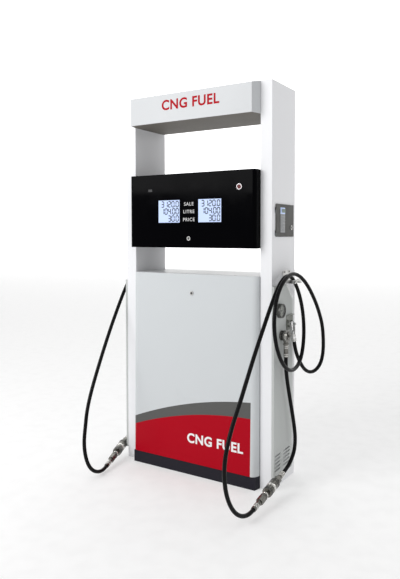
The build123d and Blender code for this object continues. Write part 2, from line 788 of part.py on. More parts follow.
# ---------------------------------------------------------------- on the outer sides
def make_hook(side, name):
    y, z = HOOK
    plate_y = 33
    with BuildPart() as hook:
        with BuildSketch(outward(side, side_face, plate_y, z)):
            RectangleRounded(HOOK_PLATE[0], HOOK_PLATE[1], 6)
        extrude(amount=3)
        # curved saddle that the hose lies over, then the lip at its outer end
        wall = side_face + 3
        for start, reach, radius in (
            (wall, SADDLE_REACH, SADDLE_RADIUS),
            (wall + SADDLE_REACH, 3, SADDLE_RADIUS + SADDLE_LIP),
        ):
            middle = (side * start, y, SADDLE_TOP - SADDLE_RADIUS)
            with BuildSketch(Plane(origin=middle, x_dir=(0, 1, 0), z_dir=(side, 0, 0))):
                Circle(radius)
                Circle(SADDLE_RADIUS - 3, mode=Mode.SUBTRACT)
                with Locations((0, -side * (SADDLE_RADIUS / 2 + SADDLE_DEPTH))):
                    Rectangle(3 * SADDLE_RADIUS, 3 * SADDLE_RADIUS, mode=Mode.SUBTRACT)
            extrude(amount=reach)
    save(hook, f"hose_hook_{name}")


HOLDER_PLATE = 3
SOCKET_LENGTH = 8
PROBE_RADIUS = 10
NOZZLE_BODY = 14
NOZZLE_OUT = 26  # nozzle's own axis, out from the raised panel
NOZZLE_LENGTH = 106
nozzle_lean = 18.6  # degrees from vertical, foot to the rear


def nozzle_plane(side):
    """Plane at the top of a nozzle whose Z runs down to its hose."""
    lean = radians(nozzle_lean)
    origin = (side * (panel_face + NOZZLE_OUT), SOCKET[0], SOCKET[1])
    return Plane(origin=origin, x_dir=(1, 0, 0), z_dir=(0, sin(lean), -cos(lean)))


def make_nozzle(side, name):
    with BuildPart() as holder:
        with BuildSketch(outward(side, panel_face, HOLDER[0], HOLDER[1])):
            RectangleRounded(HOLDER_WIDTH, HOLDER_HEIGHT, 5)
        extrude(amount=HOLDER_PLATE)
        socket = outward(side, panel_face + HOLDER_PLATE, SOCKET[0], SOCKET[1])
        rod(socket, 0, SOCKET_LENGTH, 20)
        rod(socket, 0.5, SOCKET_LENGTH, PROBE_RADIUS + RUNNING, Mode.SUBTRACT)
        # a low rim round the plate's upper edge keeps rain off the socket
        top = HOLDER[1] + HOLDER_HEIGHT / 2
        low_x, high_x = sorted((side * panel_face, side * (panel_face + 16)))
        half_y = HOLDER_WIDTH / 2 - 6
        block((low_x, HOLDER[0] - half_y, top - 3), (high_x, HOLDER[0] + half_y, top))
    save(holder, f"nozzle_holder_{name}")

    plane = nozzle_plane(side)
    with BuildPart() as nozzle:
        rod(plane, -12, 46, NOZZLE_BODY)
        rod(plane, -17, 5, NOZZLE_BODY - 4)
        probe = outward(side, panel_face + HOLDER_PLATE + 1, SOCKET[0], SOCKET[1])
        rod(probe, 0, NOZZLE_OUT - 4, PROBE_RADIUS)
        hexagon(plane, 34, 16, 15.5)
        rod(plane, 50, 6, 10)
        rod(plane, 56, NOZZLE_LENGTH - 56, 13)
        hub = outward(side, panel_face + NOZZLE_OUT + NOZZLE_BODY - 2, SOCKET[0], SOCKET[1])
        rod(hub, 0, 16, 4)
    save(nozzle, f"nozzle_{name}")
    with BuildPart() as lever:
        hub = hub.offset(3)
        rod(hub, 0, 9, 9)
        with BuildSketch(hub.offset(2)):
            with Locations((0, -side * 26)):
                SlotOverall(66, 12, rotation=90)
        extrude(amount=5)
        rod(hub, -1, 20, 4 + RUNNING, Mode.SUBTRACT)
    save(lever, f"nozzle_lever_{name}")


DIAL_RADIUS = 34
GAUGE_DEEP = 22
POINTER_SHAFT = 1.5


def make_gauge(side, name):
    face = outward(side, panel_face, GAUGE[0], GAUGE[1])
    with BuildPart() as case:
        rod(face, 0, GAUGE_DEEP, GAUGE_RADIUS)
        rod(face, -60, 60, GAUGE_HOLE - 1)
        rod(face, GAUGE_DEEP - 12, 14, DIAL_RADIUS, Mode.SUBTRACT)
        rod(face, GAUGE_DEEP - 16, 5, POINTER_SHAFT + RUNNING, Mode.SUBTRACT)
    save(case, f"gauge_case_{name}")
    with BuildPart() as pointer:
        rod(face, GAUGE_DEEP - 15.5, 6, POINTER_SHAFT)
        rod(face, GAUGE_DEEP - 10, 2, 4)
        with BuildSketch(face.offset(GAUGE_DEEP - 9.5)):
            with Locations(Location((-10 * side * 0.7071, -10 * side * 0.7071), 45)):
                Rectangle(36, 2.4)
        extrude(amount=1)
    save(pointer, f"gauge_pointer_{name}")
    with BuildPart() as glass:
        rod(face, GAUGE_DEEP - 4, 2, DIAL_RADIUS - 0.1)
    save(glass, f"gauge_glass_{name}")


OUTLET_OUT = 28  # valve body's axis, out from the raised panel
VALVE_FLANGE = 27
VALVE_WHEEL = 29
FERRULE_TOP = 45  # below the valve body's centre
FERRULE_END = 117
FERRULE_RADIUS = 13


def make_outlet(side, name):
    face = outward(side, panel_face, OUTLET[0], OUTLET[1])
    down = Plane(origin=(side * (panel_face + OUTLET_OUT), *OUTLET), x_dir=(1, 0, 0), z_dir=(0, 0, -1))
    with BuildPart() as outlet:
        rod(face, -50, 50, PIPE_HOLE - 1)
        rod(face, -PANEL_RISE - COLUMN_WIDTH / 2 - 4, 20, TUBE + 3)
        rod(face, 0, 12, VALVE_FLANGE)
        hexagon(face, 12, 6, 19)
        rod(face, 18, 26, VALVE_WHEEL)
        rod(face, 44, 3, 20)
        rod(face, 46, 5, 9)
        rod(face, 48, 4, 5, Mode.SUBTRACT)
        hexagon(down, 20, 16, 16)
        rod(down, 36, 5, 11)
        rod(down, FERRULE_TOP - 4, 6, 17)
        rod(down, FERRULE_TOP, FERRULE_END - FERRULE_TOP, FERRULE_RADIUS)
        rod(outward(side, side_face - COLUMN_WIDTH / 2 - 5, *OUTLET), -1, 30, TUBE + 0.1, Mode.SUBTRACT)
    save(outlet, f"outlet_valve_{name}")


# ---------------------------------------------------------------- hoses and breakaways
# Each route is a list of places, chosen by hand, that a hose passes close by.
SUPPLY_ROUTE_RIGHT = [
    (536, -59, 714.5),
    (536, -59, 662),
    (538, -50, 600),
    (541, -32, 527),
    (545, -12, 450),
    (549, 9, 372),
    (552, 26, 300),
    (553, 34, 238),
    (552, 26, 178),
    (548, -12, 132),
    (545, -61, 105.5),
    (545, -110, 97),
]
FILL_ROUTE_RIGHT = [
    (545, -455, 37),
    (545, -492, 30.6),
    (535, -541, 37),
    (525, -584, 62),
    (514, -618, 105),
    (505, -643, 165),
    (500, -656, 235),
    (498, -655, 312),
    (499, -633, 392),
    (500, -585, 478),
    (503, -520, 566),
    (506, -452, 668),
    (511, -384, 776),
    (516, -303, 890),
    (522, -226, 1000),
    (527, -158, 1088),
    (529, -100, 1136),
    (530, -35, 1159),
    (531, 23, 1148),
    (534, 72, 1107),
    (538, 115, 1047),
    (544, 144, 970),
    (552, 150, 885),
    (565, 122, 795),
    (579, 62, 710),
    (590, -25, 662),
    (593, -120, 656),
    (590, -205, 700),
    (583, -262, 780),
    (576, -287, 873),
    (571, -281, 965),
    (565, -245, 1045),
    (559, -180, 1110),
    (555, -95, 1154),
    (555, -5, 1172),
    (568, 72, 1146),
    (582, 140, 1090),
    (595, 205, 1010),
    (604, 256, 930),
    (611, 290, 850),
    (613, 302, 770),
    (613, 302, 695),
    (608, 286, 637),
    (598, 258, 602),
    (584, 219, 585),
    (570, 178, 590),
    (557, 141, 615),
    (545, 105, 664),
    (534, 73.8, 728.2),
    (534, 54.3, 786),
]
SUPPLY_ROUTE_LEFT = [
    (-536, -59, 714.5),
    (-536, -59, 662),
    (-539, -45, 595),
    (-545, -18, 525),
    (-552, 12, 455),
    (-561, 40, 385),
    (-571, 62, 315),
    (-580, 74, 248),
    (-586, 70, 186),
    (-585, 38, 132),
    (-577.8, -13.5, 99.6),
    (-564, -58.5, 90.5),
]
FILL_ROUTE_LEFT = [
    (-463, -387, 24),
    (-452.3, -421.7, 17),
    (-449, -468, 20),
    (-450, -514, 43),
    (-456, -545, 86),
    (-465, -559, 146),
    (-476, -556, 218),
    (-489, -530, 295),
    (-500, -505, 378),
    (-511, -460, 470),
    (-519, -405, 570),
    (-525, -344, 680),
    (-529, -280, 795),
    (-532, -214, 905),
    (-534, -155, 1000),
    (-533, -104, 1078),
    (-528, -60, 1124),
    (-522, -7, 1151),
    (-522, 55, 1149),
    (-526, 113, 1123),
    (-534, 163, 1074),
    (-545, 197, 1005),
    (-556, 212, 930),
    (-566, 211, 850),
    (-574, 194, 772),
    (-580, 150, 716),
    (-583, 89, 695),
    (-583, 28, 711),
    (-581, -16, 757),
    (-577, -37, 822),
    (-570, -42, 895),
    (-562, -50, 965),
    (-554, -58, 1030),
    (-549, -58, 1085),
    (-547, -36, 1133),
    (-548, 8, 1168),
    (-551, 65, 1188),
    (-555, 132, 1196),
    (-558, 200, 1189),
    (-562, 266, 1163),
    (-566, 325, 1117),
    (-569, 370, 1055),
    (-572, 396, 990),
    (-573, 404, 930),
    (-573, 400, 845),
    (-571, 378, 765),
    (-567, 340, 695),
    (-561, 296, 645),
    (-554, 242, 603),
    (-547, 185, 596),
    (-541, 134, 622),
    (-536, 97, 669),
    (-534, 73.8, 728.2),
    (-534, 54.3, 786),
]


def bend_radii(route):
    """The largest arc that each corner of a route leaves room for."""
    points = [Vector(*point) for point in route]
    radii = []
    for before, corner, after in zip(points, points[1:], points[2:]):
        turn = radians((corner - before).get_angle(after - corner))
        shorter = min((corner - before).length, (after - corner).length)
        radii.append(0.45 * shorter / tan(turn / 2))
    return radii


def make_hose(route, name):
    radii = bend_radii(route)
    with BuildPart() as hose:
        with BuildLine() as line:
            FilletPolyline(*route, radius=radii)
        path = line.wire()
        with BuildSketch(Plane(origin=path @ 0, z_dir=path % 0)):
            Circle(HOSE / 2)
        sweep(path=path)
    section = pi * (HOSE / 2) ** 2
    print(
        f"{name}: length {path.length:.0f}, tightest arc {min(radii):.0f},",
        f"volume over section times length {hose.part.volume / (section * path.length):.4f}",
    )
    save(hose, name)


BREAKAWAY_RADIUS = 26


def make_breakaway(supply, fill, name):
    """Inline breakaway between the end of a supply hose and the start of a fill hose."""
    start, end = Vector(*supply[-1]), Vector(*fill[0])
    along = (end - start).normalized()
    line = Plane(origin=start, z_dir=along)
    total = (end - start).length
    gap = HOSE_END_GAP
    with BuildPart() as coupling:
        rod(line, gap, 60, 13)
        hexagon(line, gap + 58, 24, 20)
        rod(line, gap + 82, 10, 12)
        rod(line, gap + 90, 8, 20)
        rod(line, gap + 96, 102, BREAKAWAY_RADIUS)
        rod(line, gap + 196, 38, 15)
        rod(line, gap + 232, 12, 19)
        hexagon(line, gap + 244, 40, 20)
        rod(line, gap + 284, total - 2 * gap - 284, 13.5)
    save(coupling, name)


# ---------------------------------------------------------------- fasteners
def make_fasteners():
    """Screws of the hook plates, the nozzle holders and the rear panel, and the anchor bolts' washers."""
    with BuildPart() as screws:
        for side in (-1, 1):
            for y in (3, 63):
                rod(outward(side, side_face + 3, y, HOOK[1] + 20), 0, 3, 5)
            for y in (HOLDER[0] - 34, HOLDER[0] + 34):
                for z in (HOLDER[1] - 34, HOLDER[1] + 30):
                    rod(outward(side, panel_face + HOLDER_PLATE, y, z), 0, 2.5, 4)
        middle = (0, DEPTH / 2, (PLINTH_TOP + CABINET_TOP) / 2)
        with BuildSketch(Plane(origin=middle, x_dir=(-1, 0, 0), z_dir=(0, 1, 0))):
            with GridLocations(2 * column_inner - 30, (CABINET_TOP - PLINTH_TOP - 40) / 3, 2, 4):
                Circle(5)
        extrude(amount=2.5)
        middle = (0, DEPTH / 2, (DISPLAY_BOTTOM + DISPLAY_TOP) / 2)
        with BuildSketch(Plane(origin=middle, x_dir=(-1, 0, 0), z_dir=(0, 1, 0))):
            with GridLocations(2 * column_inner - 40, DISPLAY_TOP - DISPLAY_BOTTOM - 40, 2, 2):
                Circle(5)
        extrude(amount=2.5)
    save(screws, "fasteners")


# ---------------------------------------------------------------- everything
make_base_frame()
make_cabinet_frame()
make_header()
make_display_housing()
make_display_door()
make_indicators()
make_display_board()
make_stop_button()
make_front_door()
make_cabinet_skins()
make_hinge_pins()
make_hatch()
make_gas_train()
make_tubing()
make_fasteners()
make_lock("display_lock", frontward(0, -DISPLAY_FRONT, DISPLAY_LOCK_Z), DISPLAY_DOOR_SHEET)
make_lock("front_door_lock", frontward(0, door_front_at(DOOR_LOCK_Z) - 0.3, DOOR_LOCK_Z), SHEET)
hatch_face = side_face + 0.6 + HATCH_THICK
hatch_lock_plane = Plane(origin=(hatch_face, *HATCH_LOCK), x_dir=(0, 0, 1), z_dir=(1, 0, 0))
make_lock("hatch_lock", hatch_lock_plane, HATCH_THICK, HATCH_BARREL)
for side, name in SIDES:
    make_column(side, name)
    make_side_panel(side, name)
    make_hook(side, name)
    make_nozzle(side, name)
    make_gauge(side, name)
    make_outlet(side, name)
make_hose(SUPPLY_ROUTE_RIGHT, "hose_supply_right")
make_hose(FILL_ROUTE_RIGHT, "hose_fill_right")
make_hose(SUPPLY_ROUTE_LEFT, "hose_supply_left")
make_hose(FILL_ROUTE_LEFT, "hose_fill_left")
make_breakaway(SUPPLY_ROUTE_RIGHT, FILL_ROUTE_RIGHT, "breakaway_right")
make_breakaway(SUPPLY_ROUTE_LEFT, FILL_ROUTE_LEFT, "breakaway_left")
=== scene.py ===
import json
import math

import bmesh
import bpy
from mathutils import Matrix, Vector
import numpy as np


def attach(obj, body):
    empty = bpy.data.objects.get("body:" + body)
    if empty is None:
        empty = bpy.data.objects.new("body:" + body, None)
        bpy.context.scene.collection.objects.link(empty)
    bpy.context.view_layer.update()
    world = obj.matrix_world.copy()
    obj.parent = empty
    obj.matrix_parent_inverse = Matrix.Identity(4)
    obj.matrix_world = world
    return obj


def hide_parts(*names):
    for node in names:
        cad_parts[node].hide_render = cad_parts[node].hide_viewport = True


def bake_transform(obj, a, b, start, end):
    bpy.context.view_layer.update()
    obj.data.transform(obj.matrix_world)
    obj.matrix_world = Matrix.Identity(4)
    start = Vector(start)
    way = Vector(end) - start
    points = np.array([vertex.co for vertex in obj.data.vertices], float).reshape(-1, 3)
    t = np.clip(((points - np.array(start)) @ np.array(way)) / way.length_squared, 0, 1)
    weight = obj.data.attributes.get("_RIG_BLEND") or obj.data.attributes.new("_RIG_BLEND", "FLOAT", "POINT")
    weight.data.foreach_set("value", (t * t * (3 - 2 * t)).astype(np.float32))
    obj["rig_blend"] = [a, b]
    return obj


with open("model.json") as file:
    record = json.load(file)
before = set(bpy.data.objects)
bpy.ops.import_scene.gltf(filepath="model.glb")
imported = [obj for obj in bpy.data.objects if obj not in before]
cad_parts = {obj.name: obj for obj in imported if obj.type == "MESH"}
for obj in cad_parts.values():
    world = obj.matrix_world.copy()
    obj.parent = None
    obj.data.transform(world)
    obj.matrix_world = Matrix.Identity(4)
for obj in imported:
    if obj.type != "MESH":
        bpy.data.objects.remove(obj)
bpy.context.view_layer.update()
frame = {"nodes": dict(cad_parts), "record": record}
NODES = frame["nodes"]
SIDES = ((1, "right"), (-1, "left"))

# places taken from the CAD, in metres: the side panels' face, then y and z on it
PANEL_FACE = 0.508
GAUGE = (-0.085, 0.970)
VALVE = (-0.059, 0.832)
VALVE_AXIS = 0.536
NOZZLE_AXIS = 0.534
NOZZLE_TOP = (0.020, 0.888)
NOZZLE_LEAN = math.radians(18.6)
KEYPAD_FACE = 0.5038

# ---------------------------------------------------------------- camera
scene = bpy.context.scene
camera_data = bpy.data.cameras.new("camera")
camera_data.sensor_width = 36
camera_data.lens = 36.14
camera_data.shift_x = -0.0408
camera_data.shift_y = -0.0601
camera = bpy.data.objects.new("camera", camera_data)
camera.location = (1.8437, -2.9356, 1.3818)
camera.rotation_euler = (math.radians(88.02), 0, math.radians(30.6))
scene.collection.objects.link(camera)
scene.camera = camera


# ---------------------------------------------------------------- materials
def new_material(name, colour, rough, metal=0.0, coat=0.0, gloss=0.5):
    """A Principled material with constant colour, and its tree."""
    made = bpy.data.materials.new(name)
    made.use_nodes = True
    shader = made.node_tree.nodes["Principled BSDF"]
    shader.inputs["Base Color"].default_value = (*colour, 1)
    shader.inputs["Roughness"].default_value = rough
    shader.inputs["Metallic"].default_value = metal
    shader.inputs["Coat Weight"].default_value = coat
    shader.inputs["Coat Roughness"].default_value = 0.12
    shader.inputs["Specular IOR Level"].default_value = gloss
    return made


def noise(made, scale, detail=3.0, stretch=(1, 1, 1)):
    """Noise over the row frame, stretched along an axis if wanted."""
    tree = made.node_tree
    place = tree.nodes.new("ShaderNodeTexCoord")
    mapping = tree.nodes.new("ShaderNodeMapping")
    mapping.inputs["Scale"].default_value = stretch
    texture = tree.nodes.new("ShaderNodeTexNoise")
    texture.inputs["Scale"].default_value = scale
    texture.inputs["Detail"].default_value = detail
    tree.links.new(place.outputs["Object"], mapping.inputs["Vector"])
    tree.links.new(mapping.outputs["Vector"], texture.inputs["Vector"])
    return texture.outputs["Fac"]


def spread(made, value, low, high, socket):
    """Carries a 0 to 1 value to a shader socket as low to high."""
    tree = made.node_tree
    ranged = tree.nodes.new("ShaderNodeMapRange")
    ranged.inputs["From Min"].default_value = 0.3
    ranged.inputs["From Max"].default_value = 0.7
    ranged.inputs["To Min"].default_value = low
    ranged.inputs["To Max"].default_value = high
    tree.links.new(value, ranged.inputs["Value"])
    tree.links.new(ranged.outputs["Result"], tree.nodes["Principled BSDF"].inputs[socket])


def bump(made, value, strength, distance):
    """Raises the surface by a value."""
    tree = made.node_tree
    raised = tree.nodes.new("ShaderNodeBump")
    raised.inputs["Strength"].default_value = strength
    raised.inputs["Distance"].default_value = distance
    tree.links.new(value, raised.inputs["Height"])
    tree.links.new(raised.outputs["Normal"], tree.nodes["Principled BSDF"].inputs["Normal"])


def tint(made, value, first, second):
    """Varies the base colour between two colours by a value."""
    tree = made.node_tree
    mix = tree.nodes.new("ShaderNodeMix")
    mix.data_type = "RGBA"
    mix.inputs["A"].default_value = (*first, 1)
    mix.inputs["B"].default_value = (*second, 1)
    tree.links.new(value, mix.inputs["Factor"])
    tree.links.new(mix.outputs["Result"], tree.nodes["Principled BSDF"].inputs["Base Color"])


def paint(name, colour, rough=0.32, gloss=0.35):
    """Powder coat: a fine orange peel and a slightly uneven sheen."""
    made = new_material(name, colour, rough, gloss=gloss)
    darker = tuple(c * 0.985 for c in colour)
    lighter = tuple(min(1, c * 1.01) for c in colour)
    tint(made, noise(made, 1.7), darker, lighter)
    spread(made, noise(made, 3), rough - 0.03, rough + 0.04, "Roughness")
    bump(made, noise(made, 620, 1.0), 0.04, 0.0002)
    return made


def metal(name, colour, rough=0.28, stretch=(1, 1, 1), scale=180, dark=0.8):
    """Bare or plated metal with a grain along the stretched axis."""
    made = new_material(name, colour, rough, 1.0)
    tint(made, noise(made, 22), tuple(c * dark for c in colour), colour)
    grain = noise(made, scale, 4.0, stretch)
    spread(made, grain, rough - 0.07, rough + 0.10, "Roughness")
    bump(made, grain, 0.10, 0.0002)
    return made


def plastic(name, colour, rough=0.4, peel=0.1, coat=0.0, gloss=0.35):
    """Moulded plastic or rubber with a fine texture."""
    made = new_material(name, colour, rough, 0.0, coat, gloss)
    spread(made, noise(made, 9), rough - 0.05, rough + 0.05, "Roughness")
    bump(made, noise(made, 900, 2.0), peel, 0.0002)
    return made


def glowing(name, colour, strength, rough=0.2):
    """A lit surface with a slightly uneven backlight."""
    made = new_material(name, colour, rough, gloss=0.1)
    shader = made.node_tree.nodes["Principled BSDF"]
    shader.inputs["Emission Color"].default_value = (*colour, 1)
    spread(made, noise(made, 11, 1.0), strength * 0.92, strength, "Emission Strength")
    return made


def glass(name, colour, rough=0.03):
    """Clear cover, smudged a little."""
    made = new_material(name, colour, rough)
    shader = made.node_tree.nodes["Principled BSDF"]
    shader.inputs["Transmission Weight"].default_value = 1.0
    shader.inputs["IOR"].default_value = 1.2
    spread(made, noise(made, 30), rough, rough + 0.04, "Roughness")
    return made


def decal_material():
    """White door with a grey and a red field, each under a curved edge."""
    white, grey, red = (0.595, 0.620, 0.635), (0.105, 0.105, 0.102), (0.400, 0.0003, 0.010)
    made = paint("door_white", white, 0.30, 0.08)
    tree = made.node_tree
    place = tree.nodes.new("ShaderNodeTexCoord")
    split = tree.nodes.new("ShaderNodeSeparateXYZ")
    tree.links.new(place.outputs["Object"], split.inputs["Vector"])

    def math_node(kind, first, second, third=None):
        node = tree.nodes.new("ShaderNodeMath")
        node.operation = kind
        for socket, value in zip(node.inputs, (first, second, third)):
            if isinstance(value, (int, float)):
                socket.default_value = value
            elif value is not None:
                tree.links.new(value, socket)
        return node.outputs[0]

    def below(high, slope, fall):
        """1 under the curve z = high + slope x - fall x x, and 0 over it."""
        x = split.outputs["X"]
        rise = math_node("MULTIPLY_ADD", x, -fall, slope)
        edge = math_node("MULTIPLY_ADD", rise, x, high)
        return math_node("LESS_THAN", split.outputs["Z"], edge)

    front = math_node("LESS_THAN", split.outputs["Y"], -0.170)
    within = math_node("MULTIPLY", math_node("LESS_THAN", split.outputs["X"], 0.388), front)
    shader = tree.nodes["Principled BSDF"]
    colour = shader.inputs["Base Color"].links[0].from_socket
    for field, shade in ((below(0.4134, 0.240, 0.213), grey), (below(0.3473, 0.189, 0.231), red)):
        mix = tree.nodes.new("ShaderNodeMix")
        mix.data_type = "RGBA"
        mix.inputs["B"].default_value = (*shade, 1)
        tree.links.new(colour, mix.inputs["A"])
        tree.links.new(math_node("MULTIPLY", field, within), mix.inputs["Factor"])
        colour = mix.outputs["Result"]
    tree.links.new(colour, shader.inputs["Base Color"])
    return made


SLOT_MATERIALS = {
    "column_white": paint("column_white", (0.82, 0.825, 0.845)),
    "side_panel_grey": paint("side_panel_grey", (0.50, 0.52, 0.51), 0.36),
    "header_white": paint("header_white", (0.57, 0.585, 0.60)),
    "header_underside": paint("header_underside", (0.15, 0.135, 0.115), 0.55),
    "display_black": plastic("display_black", (0.001, 0.001, 0.0015), 0.10, 0.01, 0.0, 0.02),
    "indicator_lcd": glowing("indicator_lcd", (0.45, 0.54, 0.76), 0.40),
    "window_smoke": plastic("window_smoke", (0.03, 0.03, 0.032), 0.2, 0.0, 0.0, 0.2),
    "circuit_board": plastic("circuit_board", (0.02, 0.11, 0.05), 0.45),
    "lock_steel": metal("lock_steel", (0.62, 0.62, 0.63), 0.2),
    "button_chrome": metal("button_chrome", (0.36, 0.34, 0.35), 0.22),
    "button_red": plastic("button_red", (0.11, 0.012, 0.014), 0.3, 0.0, 0.0, 0.2),
    "door_white": decal_material(),
    "cabinet_grey": paint("cabinet_grey", (0.60, 0.61, 0.62)),
    "plinth_slate": paint("plinth_slate", (0.014, 0.013, 0.020), 0.34, 0.15),
    "frame_steel": paint("frame_steel", (0.20, 0.21, 0.22), 0.5),
    "valve_steel": metal("valve_steel", (0.56, 0.56, 0.55)),
    "lever_red": plastic("lever_red", (0.50, 0.02, 0.02), 0.35, 0.05, 0.3),
    "tube_steel": metal("tube_steel", (0.62, 0.62, 0.62), 0.2),
    "enclosure_alloy": paint("enclosure_alloy", (0.35, 0.36, 0.37), 0.5),
    "hook_steel": metal("hook_steel", (0.74, 0.74, 0.72), 0.38, (1, 12, 1)),
    "outlet_nickel": metal("outlet_nickel", (0.24, 0.235, 0.215), 0.24, dark=0.55),
    "holder_steel": metal("holder_steel", (0.36, 0.37, 0.34), 0.35, (1, 1, 14)),
    "nozzle_chrome": metal("nozzle_chrome", (0.80, 0.80, 0.80), 0.14, dark=0.93),
    "gauge_steel": metal("gauge_steel", (0.13, 0.13, 0.125), 0.35),
    "pointer_black": plastic("pointer_black", (0.01, 0.01, 0.01), 0.5),
    "gauge_glass": glass("gauge_glass", (0.95, 0.97, 0.97)),
    "hatch_olive": plastic("hatch_olive", (0.045, 0.045, 0.040), 0.42),
    "keypad_grey": plastic("keypad_grey", (0.35, 0.36, 0.37), 0.5),
    "hose_rubber": plastic("hose_rubber", (0.004, 0.004, 0.0045), 0.30, 0.05, 0.0, 0.11),
    "fastener_steel": metal("fastener_steel", (0.55, 0.55, 0.55), 0.3),
}
for row in frame["record"]["subparts"]:
    name = row.get("name", row.get("node"))
    NODES[name].data.materials.clear()
    NODES[name].data.materials.append(SLOT_MATERIALS[row["material_slot"]])

INK_RED = plastic("ink_red", (0.42, 0.0005, 0.008), 0.35, 0.02, 0.0, 0.05)
INK_WHITE = plastic("ink_white", (0.85, 0.85, 0.85), 0.35, 0.02)
INK_LABEL = plastic("ink_label", (0.62, 0.62, 0.62), 0.5, 0.02, 0.0, 0.1)
INK_DARK = plastic("ink_dark", (0.004, 0.005, 0.012), 0.35, 0.02, 0.0, 0.05)
DIAL_WHITE = plastic("dial_white", (0.30, 0.30, 0.26), 0.5, 0.03)
SCREW_DARK = metal("screw_dark", (0.10, 0.10, 0.10), 0.35)
SCREEN_GREEN = glowing("screen_green", (0.22, 0.27, 0.24), 0.10)
COLLAR_BRIGHT = metal("collar_bright", (0.78, 0.77, 0.74), 0.18, dark=0.9)


# ---------------------------------------------------------------- building helpers
def finished(mesh, name, made, body, smooth=False):
    """Puts a mesh in the scene, with its material, on its body."""
    item = bpy.data.objects.new(name, mesh)
    scene.collection.objects.link(item)
    mesh.materials.clear()
    mesh.materials.append(made)
    for face in mesh.polygons:
        face.use_smooth = smooth
    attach(item, body)
    return item


def from_bmesh(shape, name, made, body, smooth=False):
    mesh = bpy.data.meshes.new(name)
    shape.to_mesh(mesh)
    shape.free()
    return finished(mesh, name, made, body, smooth)


def facing(origin, right, up):
    """Matrix that carries a flat thing's X and Y to two directions at a place."""
    right, up = Vector(right).normalized(), Vector(up).normalized()
    turn = Matrix((right, up, right.cross(up))).transposed().to_4x4()
    return Matrix.Translation(Vector(origin)) @ turn


def front_at(x, y, z):
    return facing((x, y, z), (1, 0, 0), (0, 0, 1))


def side_at(side, x, y, z):
    return facing((side * x, y, z), (0, side, 0), (0, 0, 1))


def lettering(words, size, matrix, name, made, body, thick=0.0002, spacing=1.0, bold=0.0):
    """Printed letters as a thin mesh."""
    curve = bpy.data.curves.new(name, "FONT")
    curve.body = words
    curve.size = size
    curve.align_x = "CENTER"
    curve.align_y = "CENTER"
    curve.space_character = spacing
    curve.extrude = thick
    curve.offset = bold
    curve.resolution_u = 6
    holder = bpy.data.objects.new(name + "_text", curve)
    scene.collection.objects.link(holder)
    bpy.context.view_layer.update()
    mesh = bpy.data.meshes.new_from_object(holder.evaluated_get(bpy.context.evaluated_depsgraph_get()))
    bpy.data.objects.remove(holder)
    mesh.transform(matrix)
    return finished(mesh, name, made, body)


def bar(shape, low, high, matrix=None):
    """A box between two corners, added to a bmesh."""
    middle = [(a + b) / 2 for a, b in zip(low, high)]
    size = [b - a for a, b in zip(low, high)]
    place = Matrix.Translation(middle) @ Matrix.Diagonal((*size, 1))
    bmesh.ops.create_cube(shape, size=1, matrix=(matrix @ place) if matrix else place)


def disc(shape, radius, depth, matrix, segments=48):
    """A short cylinder that starts at a matrix's origin and runs along its Z."""
    bmesh.ops.create_cone(
        shape,
        cap_ends=True,
        segments=segments,
        radius1=radius,
        radius2=radius,
        depth=depth,
        matrix=matrix @ Matrix.Translation((0, 0, depth / 2)),
    )


def ring(shape, inner, outer, depth, matrix, segments=48):
    """A flat ring with thickness, spun about a matrix's Z."""
    corners = [(inner, 0, 0), (outer, 0, 0), (outer, 0, depth), (inner, 0, depth)]
    points = [shape.verts.new(matrix @ Vector(c)) for c in corners]
    edges = [shape.edges.new((points[i], points[(i + 1) % 4])) for i in range(4)]
    axis = matrix.to_3x3() @ Vector((0, 0, 1))
    bmesh.ops.spin(
        shape,
        geom=points + edges,
        cent=matrix.translation,
        axis=axis,
        angle=2 * math.pi,
        steps=segments,
        use_merge=True,
    )
    bmesh.ops.recalc_face_normals(shape, faces=shape.faces)


